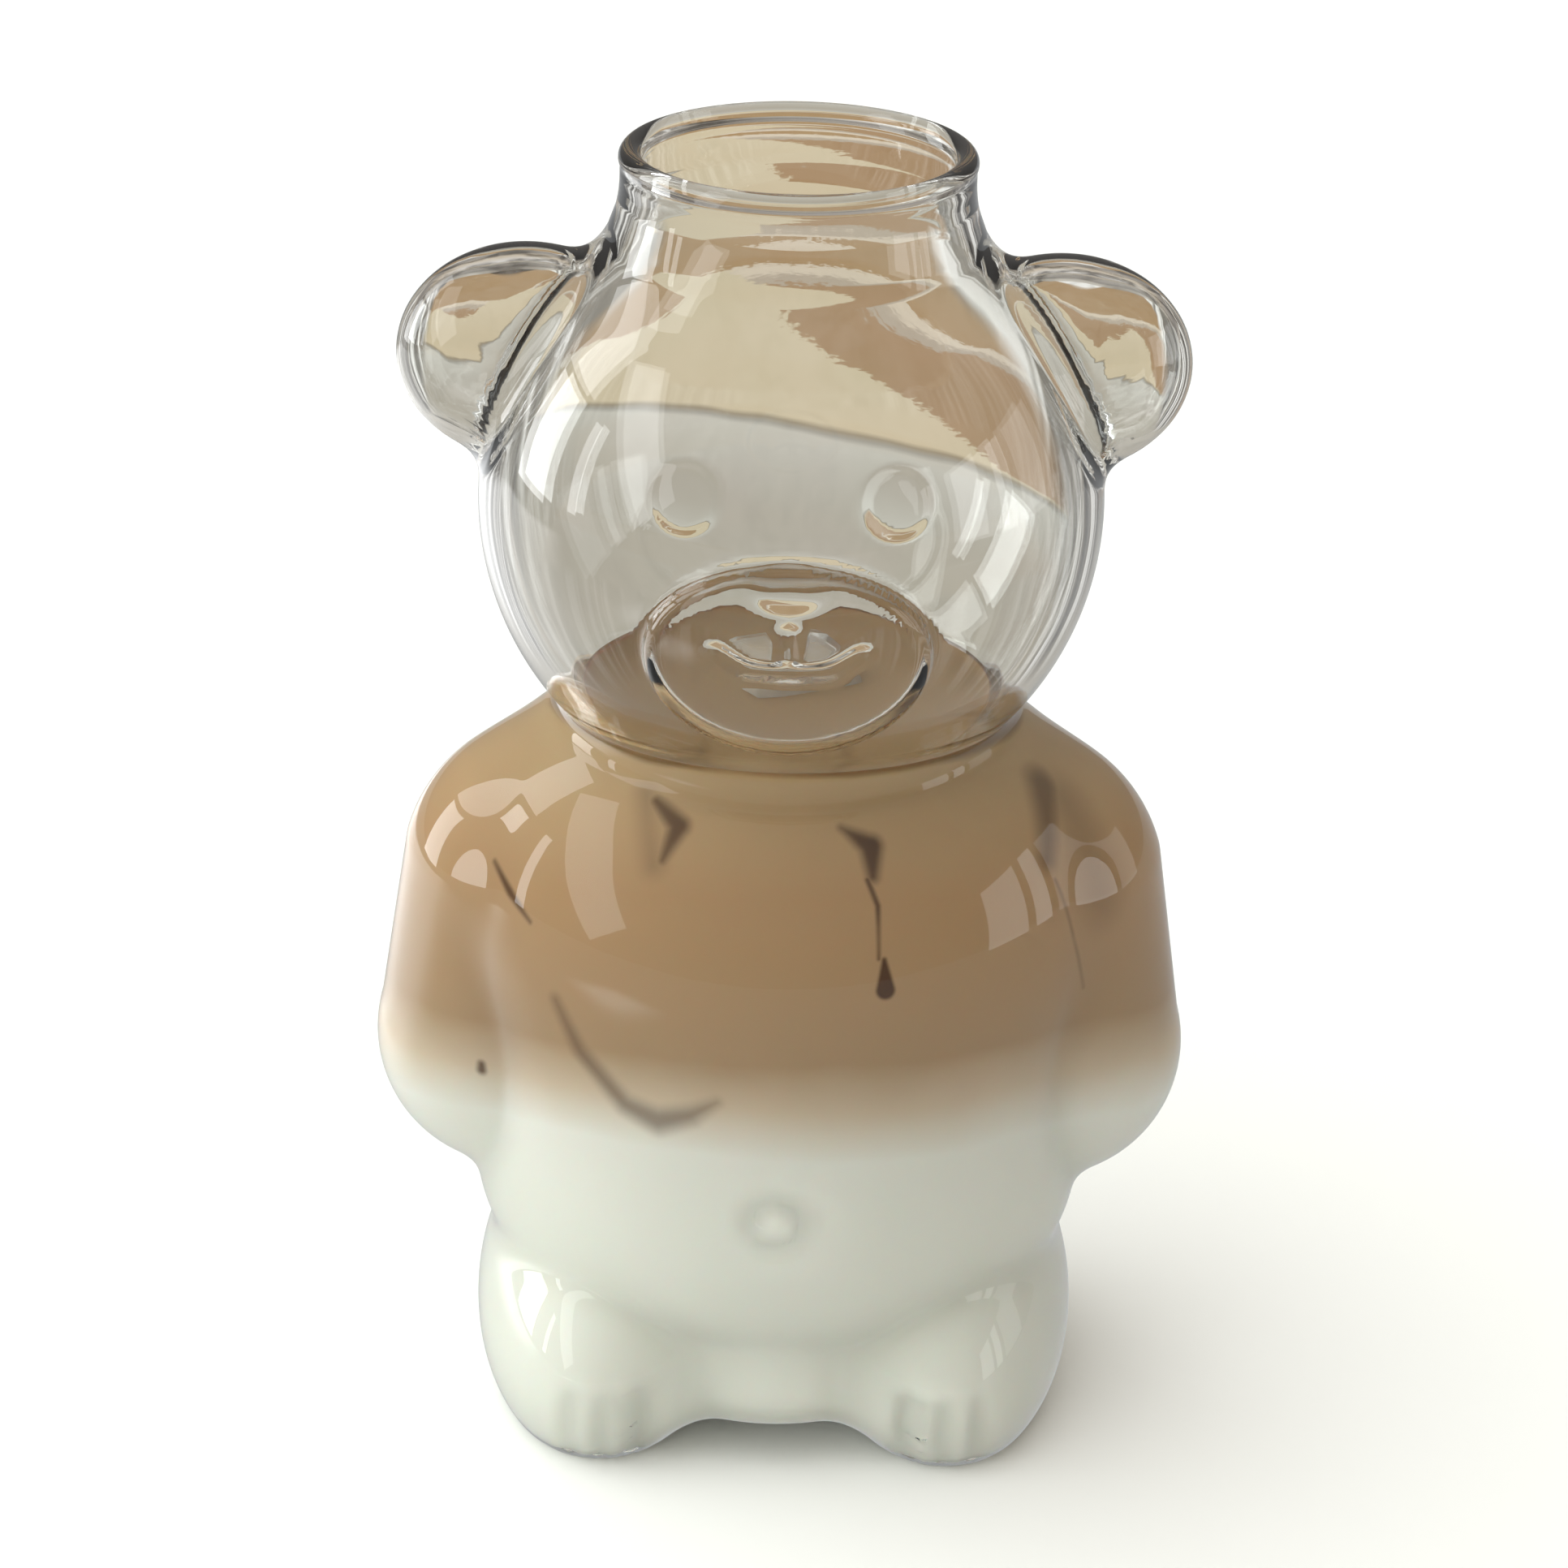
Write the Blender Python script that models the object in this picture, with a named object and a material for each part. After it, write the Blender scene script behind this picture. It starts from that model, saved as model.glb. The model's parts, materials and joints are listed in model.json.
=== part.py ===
"""Bear drinking glass, filled with iced milk coffee.

One blown glass stands on two short legs. Its neck opens upwards from a round head with two hollow ears.
Milk fills it up to the arms, coffee lies on the milk up to just above the crease under the head, and ice
cubes lie in the coffee. Most of them have melted to fit the glass, and one floats in the middle.

Lengths are in metres. The front is -Y, up is +Z, and the soles stand at zero height. The forms are built
round the neck's centre line, and the whole is then moved back so that its box is centred on the origin.
The outside, the inside and the drink are cast from one form, so they follow each other.
"""
import math

import bmesh
import bpy
import numpy as np
from mathutils import Euler, Matrix, Vector

# Glass walls
wall = 0.0022
floor_thickness = 0.0035
rim_bead_radius = 0.0013
drink_gap = 0.0003

# Neck and head
neck_radius = 0.0199
neck_rise = 0.0115
neck_fillet = 0.0070
head_radius = 0.0355

# Crease between head and shoulders
crease_height = 0.0844
crease_radius = 0.0255
crease_fillet = 0.0014

# Ears
ear_spread = 0.0300
ear_rise = 0.0165
ear_half_width = 0.0148
ear_half_depth = 0.0088
ear_half_height = 0.0126
ear_fillet = 0.0030

# Muzzle and nose
muzzle_drop = 0.0070
muzzle_stand_out = 0.0034
muzzle_half_width = 0.0165
muzzle_half_height = 0.0115
muzzle_half_depth = 0.0085
muzzle_fillet = 0.0012
nose_rise = 0.0080
nose_half_width = 0.0048
nose_half_height = 0.0034
nose_half_depth = 0.0035
nose_stand_out = 0.0026
nose_fillet = 0.0024

# Shoulders and belly
shoulder_height = 0.0625
shoulder_half_width = 0.0400
shoulder_half_depth = 0.0325
belly_height = 0.0420
belly_forward = 0.0010
belly_half_width = 0.0360
belly_half_depth = 0.0338
belly_half_height = 0.0300
belly_roundness = 4.0
torso_fillet = 0.0060

# Arms
upper_arm_spread = 0.0254
upper_arm_height = 0.0620
upper_arm_radius = 0.0190
forearm_spread = 0.0309
forearm_height = 0.0425
forearm_radius = 0.0163
arm_fillet = 0.0030

# Legs
leg_spread = 0.0202
leg_height = 0.0095
leg_half_width = 0.0150
leg_half_depth = 0.0325
leg_half_height = 0.0178
hip_height = 0.0145
hip_half_width = 0.0240
hip_half_depth = 0.0310
hip_half_height = 0.0110
hip_roundness = 5.0
leg_fillet = 0.0060
hip_crease_fillet = 0.0018

# Drink
milk_depth = 0.0400
drink_above_crease = 0.0010

# Ice cubes
ice_edge = 0.0145
ice_rounding = 0.0024
ice_melt_depth = 0.0012
float_height = 0.0030
float_back = 0.0040
float_turn = math.radians(24)

# Each cube's height above the middle of the coffee as a share of its edge, its azimuth, and its lean
# in degrees about the outward, sideways and upward directions
ice_place_shares = (
    ("ice_cube_belly_left", -0.72, 229, (42, 14, 30)),
    ("ice_cube_chest_left", 0.66, 243, (4, -8, 45)),
    ("ice_cube_chest_right", 0.13, 297, (-7, 4, 45)),
    ("ice_cube_right_shoulder", 0.36, 347, (10, -30, 40)),
    ("ice_cube_left_shoulder", 0.36, 198, (-14, -24, 42)),
    ("ice_cube_left_arm", -0.83, 178, (14, 4, 34)),
    ("ice_cube_right_arm", -0.89, 352, (-16, 8, 20)),
    ("ice_cube_back_left", -0.78, 136, (18, 14, 36)),
    ("ice_cube_back_right", -0.67, 50, (-25, 15, 30)),
    ("ice_cube_back_middle", 0.27, 92, (10, 4, 14)),
)

# Mesh counts
azimuth_count = 64
side_squeeze = 0.25
front_squeeze = 0.30
outer_ring_counts = {"sole": 5, "leg": 12, "body": 12, "head": 19}
inner_ring_counts = {"sole": 3, "leg": 6, "body": 10, "head": 12}
bead_ring_count = 6
march_steps = 110
halvings = 26

# Heights and angles that follow from the sizes above
head_height = crease_height + math.sqrt(head_radius ** 2 - crease_radius ** 2)
neck_foot_rise = math.sqrt(head_radius ** 2 - neck_radius ** 2)
glass_height = head_height + neck_foot_rise + neck_rise
shoulder_half_height = (crease_height - shoulder_height) / math.sqrt(
    1 - (crease_radius / shoulder_half_width) ** 2)
milk_height = floor_thickness + milk_depth
drink_height = crease_height + drink_above_crease
coffee_middle = (milk_height + drink_height) / 2
bead_ring_radius = neck_radius - wall / 2
bead_height = glass_height - rim_bead_radius
spine_height = (belly_height + shoulder_height) / 2
face_front = math.sqrt(head_radius ** 2 - muzzle_drop ** 2)
muzzle_overhang = face_front + muzzle_stand_out - head_radius
crease_clearance_angle = math.radians(3)
sole_edge_angle = -math.atan2(spine_height, leg_spread + leg_half_width / 2)
hip_crease_angle = -math.atan2(spine_height - leg_height - leg_half_height, leg_spread + leg_half_width)


def blend(first, second, width):
    """Union of two forms, filleted over the given width where they meet."""
    mix = np.clip((1 + (second - first) / width) / 2, 0, 1)
    return second + (first - second) * mix - width * mix * (1 - mix)


def ellipsoid(points, centre, half_sizes):
    """Signed distance to an ellipsoid, close to exact near its surface."""
    offset = points - np.array(centre)
    half_sizes = np.array(half_sizes)
    near = np.linalg.norm(offset / half_sizes, axis=-1)
    steepness = np.linalg.norm(offset / half_sizes ** 2, axis=-1)
    tiny = np.finfo(float).tiny
    return near * (near - 1) / np.maximum(steepness, tiny)


def barrel(points, centre, half_sizes, roundness):
    """Signed distance to a round barrel whose side is straighter than an ellipsoid's."""
    offset = np.abs(points - np.array(centre))
    across = np.hypot(offset[..., 0] / half_sizes[0], offset[..., 1] / half_sizes[1])
    along = offset[..., 2] / half_sizes[2]
    return ((across ** roundness + along ** roundness) ** (1 / roundness) - 1) * min(half_sizes)


def limb(points, start, end, start_radius, end_radius):
    """Signed distance to a tapered limb with round ends."""
    start = np.array(start)
    run = np.array(end) - start
    offset = points - start
    along = np.clip(offset @ run / (run @ run), 0, 1)
    radius = start_radius + (end_radius - start_radius) * along
    return np.linalg.norm(offset - along[..., None] * run, axis=-1) - radius


def mirrored(points):
    """The same points on the side of positive X."""
    folded = points.copy()
    folded[..., 0] = np.abs(folded[..., 0])
    return folded


def torso_form(points):
    """Belly, shoulders and arms."""
    belly = barrel(points, (0, -belly_forward, belly_height),
                   (belly_half_width, belly_half_depth, belly_half_height), belly_roundness)
    shoulders = ellipsoid(points, (0, 0, shoulder_height),
                          (shoulder_half_width, shoulder_half_depth, shoulder_half_height))
    arms = limb(mirrored(points), (upper_arm_spread, 0, upper_arm_height),
                (forearm_spread, 0, forearm_height), upper_arm_radius, forearm_radius)
    return blend(blend(belly, shoulders, torso_fillet), arms, arm_fillet)


def leg_form(points):
    """Two legs, and the hip that joins them over a low arch."""
    legs = ellipsoid(mirrored(points), (leg_spread, 0, leg_height),
                     (leg_half_width, leg_half_depth, leg_half_height))
    hip = barrel(points, (0, 0, hip_height),
                 (hip_half_width, hip_half_depth, hip_half_height), hip_roundness)
    return blend(legs, hip, leg_fillet)


def head_form(points):
    """Round head with its ears and neck, without the face."""
    ball = ellipsoid(points, (0, 0, head_height), (head_radius, head_radius, head_radius))
    ears = ellipsoid(mirrored(points), (ear_spread, 0, head_height + ear_rise),
                     (ear_half_width, ear_half_depth, ear_half_height))
    neck = np.hypot(points[..., 0], points[..., 1]) - neck_radius
    neck = np.maximum(neck, head_height - points[..., 2])
    return blend(blend(ball, ears, ear_fillet), neck, neck_fillet)


def face_form(points):
    """Muzzle on the front of the head, with the nose near its top."""
    muzzle_height = head_height - muzzle_drop
    muzzle = ellipsoid(points, (0, muzzle_half_depth - muzzle_stand_out - face_front, muzzle_height),
                       (muzzle_half_width, muzzle_half_depth, muzzle_half_height))
    nose_height = muzzle_height + nose_rise
    nose = ellipsoid(points, (0, nose_half_depth - nose_stand_out - face_front, nose_height),
                     (nose_half_width, nose_half_depth, nose_half_height))
    return blend(muzzle, nose, nose_fillet)


def plain_form(points):
    """The whole bear without its face: what the inside of the glass follows."""
    bear = blend(torso_form(points), head_form(points), crease_fillet)
    return blend(bear, leg_form(points), hip_crease_fillet)


def outside_form(points):
    """Outside of the glass, cut flat at the soles."""
    bear = blend(plain_form(points), face_form(points), muzzle_fillet)
    return np.maximum(bear, -points[..., 2])


def inside_form(points):
    """Inside of the glass."""
    return np.maximum(plain_form(points) + wall, floor_thickness - points[..., 2])


def drink_form(points):
    """Outside of the drink, a small gap inside the glass."""
    return inside_form(points) + drink_gap


def azimuths():
    """Directions around the glass, closer together at the arms, the ears and the face."""
    turns = np.linspace(0, 2 * math.pi, azimuth_count, endpoint=False)
    return turns - side_squeeze * np.sin(2 * turns) / 2 - front_squeeze * np.cos(turns)


def cast_ring(form, height, elevation):
    """Where rays from a point on the centre line leave the form, one ray for each azimuth."""
    angles = azimuths()
    origin = np.array((0, 0, height))
    level = math.cos(elevation)
    rays = np.stack((np.cos(angles) * level, np.sin(angles) * level,
                     np.full(azimuth_count, math.sin(elevation))), axis=-1)
    steps = np.linspace(0, glass_height, march_steps)[1:]
    outside = form(origin + rays[:, None, :] * steps[None, :, None]) > 0
    first = np.argmax(outside, axis=1)
    near = steps[np.maximum(first - 1, 0)]
    far = steps[first]
    for _ in range(halvings):
        middle = (near + far) / 2
        is_outside = form(origin + rays * middle[:, None]) > 0
        far = np.where(is_outside, middle, far)
        near = np.where(is_outside, near, middle)
    return origin + rays * far[:, None]


def body_rings(form, counts):
    """Rings from just above the underside's middle to just below the crease."""
    crease_angle = math.atan2(crease_height - spine_height, crease_radius) - crease_clearance_angle
    sole = np.linspace(-math.pi / 2, sole_edge_angle, counts["sole"] + 1)[1:]
    leg = np.linspace(sole_edge_angle, hip_crease_angle, counts["leg"] + 1)[1:]
    body = np.linspace(hip_crease_angle, crease_angle, counts["body"] + 1)[1:]
    elevations = np.concatenate((sole, leg, body))
    return [cast_ring(form, spine_height, elevation) for elevation in elevations]


def head_rings(form, counts):
    """Rings from just above the crease to the foot of the neck."""
    bottom = crease_clearance_angle - math.atan2(head_height - crease_height, crease_radius)
    top = math.atan2(neck_foot_rise, neck_radius)
    elevations = np.linspace(bottom, top, counts["head"])
    return [cast_ring(form, head_height, elevation) for elevation in elevations]


def shell_rings(form, counts):
    """All rings of one side of the glass, from the underside up to the neck."""
    crease = cast_ring(form, crease_height, 0)
    neck = cast_ring(form, bead_height - neck_rise / 2, 0)
    return body_rings(form, counts) + [crease] + head_rings(form, counts) + [neck]


def bead_rings():
    """The rounded lip, from its outer side over the top to its inner side."""
    angles = azimuths()
    overhang = math.radians(40)
    rings = []
    for turn in np.linspace(-overhang, math.pi + overhang, bead_ring_count):
        radius = bead_ring_radius + rim_bead_radius * math.cos(turn)
        height = bead_height + rim_bead_radius * math.sin(turn)
        rings.append(np.stack((np.cos(angles) * radius, np.sin(angles) * radius,
                               np.full(azimuth_count, height)), axis=-1))
    return rings


def loft(rings, first_pole, last_pole):
    """Closed surface of triangles through rings of equal length, with a point at each end.

    The triangles of each quarter mirror those of the next quarter.
    """
    mesh = bmesh.new()
    loops = [[mesh.verts.new(point) for point in ring] for ring in rings]
    start = mesh.verts.new(first_pole)
    end = mesh.verts.new(last_pole)
    count = len(loops[0])
    for k in range(count):
        after = (k + 1) % count
        mesh.faces.new((start, loops[0][after], loops[0][k]))
        leans_back = 4 * k // count % 2 == 0
        for near, far in zip(loops, loops[1:]):
            if leans_back:
                mesh.faces.new((near[k], near[after], far[k]))
                mesh.faces.new((near[after], far[after], far[k]))
            else:
                mesh.faces.new((near[k], near[after], far[after]))
                mesh.faces.new((near[k], far[after], far[k]))
        mesh.faces.new((loops[-1][k], loops[-1][after], end))
    return mesh


def make_material(name, colour, roughness, transmission=0.0):
    """Plain material for one kind of piece."""
    material = bpy.data.materials.new(name)
    material.use_nodes = True
    shader = material.node_tree.nodes["Principled BSDF"]
    shader.inputs["Base Color"].default_value = (*colour, 1)
    shader.inputs["Roughness"].default_value = roughness
    shader.inputs["Metallic"].default_value = 0
    shader.inputs["Transmission Weight"].default_value = transmission
    return material


def add_object(name, mesh, material=None):
    """Put a finished mesh into the scene, shaded smooth."""
    data = bpy.data.meshes.new(name)
    mesh.to_mesh(data)
    mesh.free()
    data.shade_smooth()
    piece = bpy.data.objects.new(name, data)
    bpy.context.scene.collection.objects.link(piece)
    if material:
        data.materials.append(material)
    return piece


def make_glass(material):
    """The blown glass: outside, lip and inside in one closed surface."""
    outer = shell_rings(outside_form, outer_ring_counts)
    inner = shell_rings(inside_form, inner_ring_counts)
    underside = cast_ring(outside_form, spine_height, -math.pi / 2)[0]
    floor_middle = cast_ring(inside_form, spine_height, -math.pi / 2)[0]
    rings = outer + bead_rings() + inner[::-1]
    return add_object("glass_vessel", loft(rings, underside, floor_middle), material)


def cut_level(mesh, height, keep_below):
    """Cut a body at a level height, keep one side of it and close the cut."""
    geometry = mesh.verts[:] + mesh.edges[:] + mesh.faces[:]
    bmesh.ops.bisect_plane(mesh, geom=geometry, plane_co=(0, 0, height), plane_no=(0, 0, 1),
                           clear_outer=keep_below, clear_inner=not keep_below)
    rim = [edge for edge in mesh.edges if edge.is_boundary]
    bmesh.ops.holes_fill(mesh, edges=rim)
    bmesh.ops.recalc_face_normals(mesh, faces=mesh.faces)


def drink_mesh():
    """The whole drink as one closed body, with the same rays and triangles as the glass's inside."""
    rings = body_rings(drink_form, inner_ring_counts)
    rings.append(cast_ring(drink_form, crease_height, 0))
    rings.append(cast_ring(drink_form, drink_height, 0))
    bottom = cast_ring(drink_form, spine_height, -math.pi / 2)[0]
    return loft(rings[::-1], (0, 0, drink_height), bottom)


def rounded_cube(edge, rounding):
    """Points and faces of a cube with rounded edges, about its own middle."""
    mesh = bmesh.new()
    bmesh.ops.create_cube(mesh, size=edge)
    bmesh.ops.subdivide_edges(mesh, edges=mesh.edges, cuts=3, use_grid_fill=True)
    core = edge / 2 - rounding
    for vert in mesh.verts:
        flat = Vector([max(-core, min(core, value)) for value in vert.co])
        outward = vert.co - flat
        if outward.length:
            vert.co = flat + outward.normalized() * rounding
    return mesh


def slope(form, points):
    """Direction in which the form's distance grows, at each point."""
    step = drink_gap / 4
    rise = [form(points + step * axis) - form(points - step * axis) for axis in np.eye(3)]
    return np.stack(rise, axis=-1) / (2 * step)


def melt_to_glass(mesh):
    """Draw each point that would lie outside the drink back onto the drink's side."""
    points = np.array([vert.co for vert in mesh.verts])
    for _ in range(6):
        beyond = np.maximum(drink_form(points), 0)
        points = points - slope(drink_form, points) * beyond[:, None]
    for vert, point in zip(mesh.verts, points):
        vert.co = point


def seat_against_glass(height, azimuth, turn):
    """Place of a cube pushed out along an azimuth until its corners melt into the glass."""
    cube = rounded_cube(ice_edge, ice_rounding)
    corners = np.array([turn @ vert.co for vert in cube.verts])
    cube.free()
    outward = np.array((math.cos(azimuth), math.sin(azimuth), 0))
    near, far = 0.0, glass_height
    for _ in range(halvings):
        middle = (near + far) / 2
        placed = corners + outward * middle + np.array((0, 0, height))
        if drink_form(placed).max() > ice_melt_depth:
            far = middle
        else:
            near = middle
    return Matrix.Translation(Vector(outward * near) + Vector((0, 0, height))) @ turn.to_4x4()


def ice_places():
    """Name and place of each cube that lies in the coffee against the glass."""
    places = []
    for name, height_share, azimuth, tilt in ice_place_shares:
        height = coffee_middle + height_share * ice_edge
        outward = math.radians(azimuth)
        lean = Euler([math.radians(angle) for angle in tilt]).to_matrix()
        turn = Matrix.Rotation(outward, 3, "Z") @ lean
        places.append((name, seat_against_glass(height, outward, turn)))
    return places


def make_ice(name, place, material):
    """One ice cube, melted where it touches the glass."""
    mesh = rounded_cube(ice_edge, ice_rounding)
    bmesh.ops.transform(mesh, matrix=place, verts=mesh.verts)
    melt_to_glass(mesh)
    return add_object(name, mesh, material)


def make_pocket(name, place, lift=0.0):
    """Space for one ice cube in the coffee, drawn upwards where the cube lifts out."""
    mesh = rounded_cube(ice_edge + 2 * drink_gap, ice_rounding + drink_gap)
    bmesh.ops.transform(mesh, matrix=place, verts=mesh.verts)
    if lift:
        raised = [vert.co + Vector((0, 0, lift)) for vert in mesh.verts]
        bmesh.ops.delete(mesh, geom=mesh.faces[:] + mesh.edges[:], context="EDGES_FACES")
        for point in raised:
            mesh.verts.new(point)
        bmesh.ops.convex_hull(mesh, input=mesh.verts)
        inner = [vert for vert in mesh.verts if not vert.link_faces]
        bmesh.ops.delete(mesh, geom=inner, context="VERTS")
    pocket = add_object(name + "_pocket", mesh)
    pocket.hide_render = True
    pocket.display_type = "WIRE"
    return pocket


def make_drink(name, material, pockets, keep_below):
    """The milk or the coffee: the drink on one side of their boundary, with pockets for the ice."""
    mesh = drink_mesh()
    inset = -drink_gap / 2 if keep_below else drink_gap / 2
    cut_level(mesh, milk_height + inset, keep_below)
    drink = add_object(name, mesh, material)
    for pocket in pockets:
        cut = drink.modifiers.new(pocket.name, "BOOLEAN")
        cut.operation = "DIFFERENCE"
        cut.solver = "EXACT"
        cut.object = pocket


def make_floating_ice(material):
    """The cube that floats in the middle and lifts out through the neck."""
    height = drink_height + float_height - ice_edge / 2
    place = Matrix.Translation((0, float_back, height)) @ Matrix.Rotation(float_turn, 4, "Z")
    mesh = rounded_cube(ice_edge, ice_rounding)
    bmesh.ops.transform(mesh, matrix=place, verts=mesh.verts)
    return add_object("ice_cube_floating", mesh, material), place


def main():
    """Build the glass, the drink and the ice."""
    for old in list(bpy.data.objects):
        bpy.data.objects.remove(old)
    glass = make_material("clear_glass", (0.90, 0.93, 0.90), 0.03, 0.9)
    milk = make_material("milk", (0.90, 0.92, 0.86), 0.25)
    coffee = make_material("coffee", (0.52, 0.36, 0.24), 0.25)
    ice = make_material("ice", (0.55, 0.42, 0.32), 0.08, 0.5)
    make_glass(glass)
    pockets = []
    for name, place in ice_places():
        make_ice(name, place, ice)
        pockets.append(make_pocket(name, place))
    floating, place = make_floating_ice(ice)
    pockets.append(make_pocket(floating.name, place, lift=ice_edge))
    make_drink("milk", milk, pockets, keep_below=True)
    make_drink("coffee", coffee, pockets, keep_below=False)
    for piece in bpy.data.objects:
        piece.data.transform(Matrix.Translation((0, muzzle_overhang / 2, 0)))


main()
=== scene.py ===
"""Bear drinking glass with iced milk coffee, dressed for its picture.

The glass and the drink are rebuilt as fine surfaces, cast from the same outer form as the solids, with the
face, the navel and the toes worked into the outside. The glass is thinner than the solid at the floor, the
feet and the ears. The ice keeps the solids' shape.

Lengths are in metres. The front is -Y, up is +Z, and the glass stands at zero height.
"""
import json
import math

import bmesh
import bpy
import numpy as np
from mathutils import Matrix, Quaternion, Vector


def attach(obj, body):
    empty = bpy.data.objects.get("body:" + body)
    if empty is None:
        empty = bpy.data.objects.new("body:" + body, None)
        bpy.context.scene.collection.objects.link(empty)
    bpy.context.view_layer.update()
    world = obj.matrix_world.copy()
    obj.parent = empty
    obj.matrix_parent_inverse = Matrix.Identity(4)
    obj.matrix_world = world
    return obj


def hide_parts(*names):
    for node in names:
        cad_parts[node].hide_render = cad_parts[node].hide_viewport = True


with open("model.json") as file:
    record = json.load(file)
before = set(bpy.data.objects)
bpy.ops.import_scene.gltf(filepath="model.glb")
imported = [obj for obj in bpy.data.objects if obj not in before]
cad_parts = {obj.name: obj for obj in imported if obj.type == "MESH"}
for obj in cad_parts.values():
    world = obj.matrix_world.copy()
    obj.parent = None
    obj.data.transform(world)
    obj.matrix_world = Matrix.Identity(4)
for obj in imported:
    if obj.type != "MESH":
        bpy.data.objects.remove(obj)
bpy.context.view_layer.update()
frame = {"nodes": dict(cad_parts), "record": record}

# Glass walls
wall = 0.0022
floor_thickness = 0.0012
wall_thinning = 0.0014
thinning_height = 0.0240
ear_thinning = 0.0010
ear_thinning_start = 0.0340
ear_thinning_end = 0.0400
rim_bead_radius = 0.0013
drink_bite = 0.00008

# Neck and head
neck_radius = 0.0199
neck_rise = 0.0115
neck_fillet = 0.0070
head_radius = 0.0355

# Crease between head and shoulders
crease_height = 0.0844
crease_radius = 0.0255
crease_fillet = 0.0014

# Ears
ear_spread = 0.0300
ear_rise = 0.0165
ear_half_width = 0.0148
ear_half_depth = 0.0088
ear_half_height = 0.0126
ear_fillet = 0.0030

# Muzzle, nose and eyes: raised pads on the ball of the head. Each has its direction as an angle across
# and an angle up from straight ahead, its half width and half height, how far its edge and its middle
# stand out, and how softly its edge is rounded and its foot filleted
muzzle = {"across": 0.0, "rise": -12.5, "halves": (0.0158, 0.0118), "edge": 0.0022, "crown": 0.0012,
          "rounding": 0.0010, "fillet": 0.0006}
nose = {"across": 0.0, "rise": 2.6, "halves": (0.0042, 0.0024), "edge": 0.0026, "crown": 0.0008,
        "rounding": 0.0014, "fillet": 0.0008}
eye = {"across": 19.8, "rise": 17.0, "halves": (0.0034, 0.0034), "edge": 0.0001, "crown": 0.0003,
       "rounding": 0.0005, "fillet": 0.0010}
muzzle_inside = {"across": 0.0, "rise": -12.5, "halves": (0.0146, 0.0106), "edge": 0.0014, "crown": 0.0010,
                 "rounding": 0.0013, "fillet": 0.0012}
mouth_lines = (((0, -3.5), (0, -11.0)), ((0, -11.0), (7, -10.6)), ((7, -10.6), (12, -7.5)))
mouth_line_radius = 0.0009
mouth_height = 0.0033
mouth_fillet = 0.0007
crown_reach = 1.2

# Shoulders and belly
shoulder_height = 0.0625
shoulder_half_width = 0.0400
shoulder_half_depth = 0.0325
belly_height = 0.0420
belly_forward = 0.0010
belly_half_width = 0.0360
belly_half_depth = 0.0338
belly_half_height = 0.0300
belly_roundness = 4.0
torso_fillet = 0.0060
navel_height = 0.0332
navel_halves = (0.0062, 0.0049)
navel_reach = 0.0034
navel_depth = 0.0018
navel_bump_halves = (0.0026, 0.0021)
navel_bump_depth = 0.0018
navel_fillet = 0.0008

# Arms
upper_arm_spread = 0.0254
upper_arm_height = 0.0620
upper_arm_radius = 0.0190
forearm_spread = 0.0309
forearm_height = 0.0425
forearm_radius = 0.0163
arm_fillet = 0.0018

# Legs and toes
leg_spread = 0.0202
leg_height = 0.0095
leg_half_width = 0.0150
leg_half_depth = 0.0325
leg_half_height = 0.0178
hip_height = 0.0145
hip_half_width = 0.0240
hip_half_depth = 0.0310
hip_half_height = 0.0110
hip_roundness = 5.0
leg_fillet = 0.0060
hip_crease_fillet = 0.0018
toe_grooves = (0.0150, 0.0196, 0.0242)
toe_groove_radius = 0.0016
toe_groove_depth = 0.0006
toe_groove_fillet = 0.0014
toe_groove_foot_share = 0.86

# Drink
drink_above_crease = 0.0010
meniscus_rise = 0.0007
meniscus_width = 0.0011
front_rise = 0.10
drift_height = 0.0068

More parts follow.
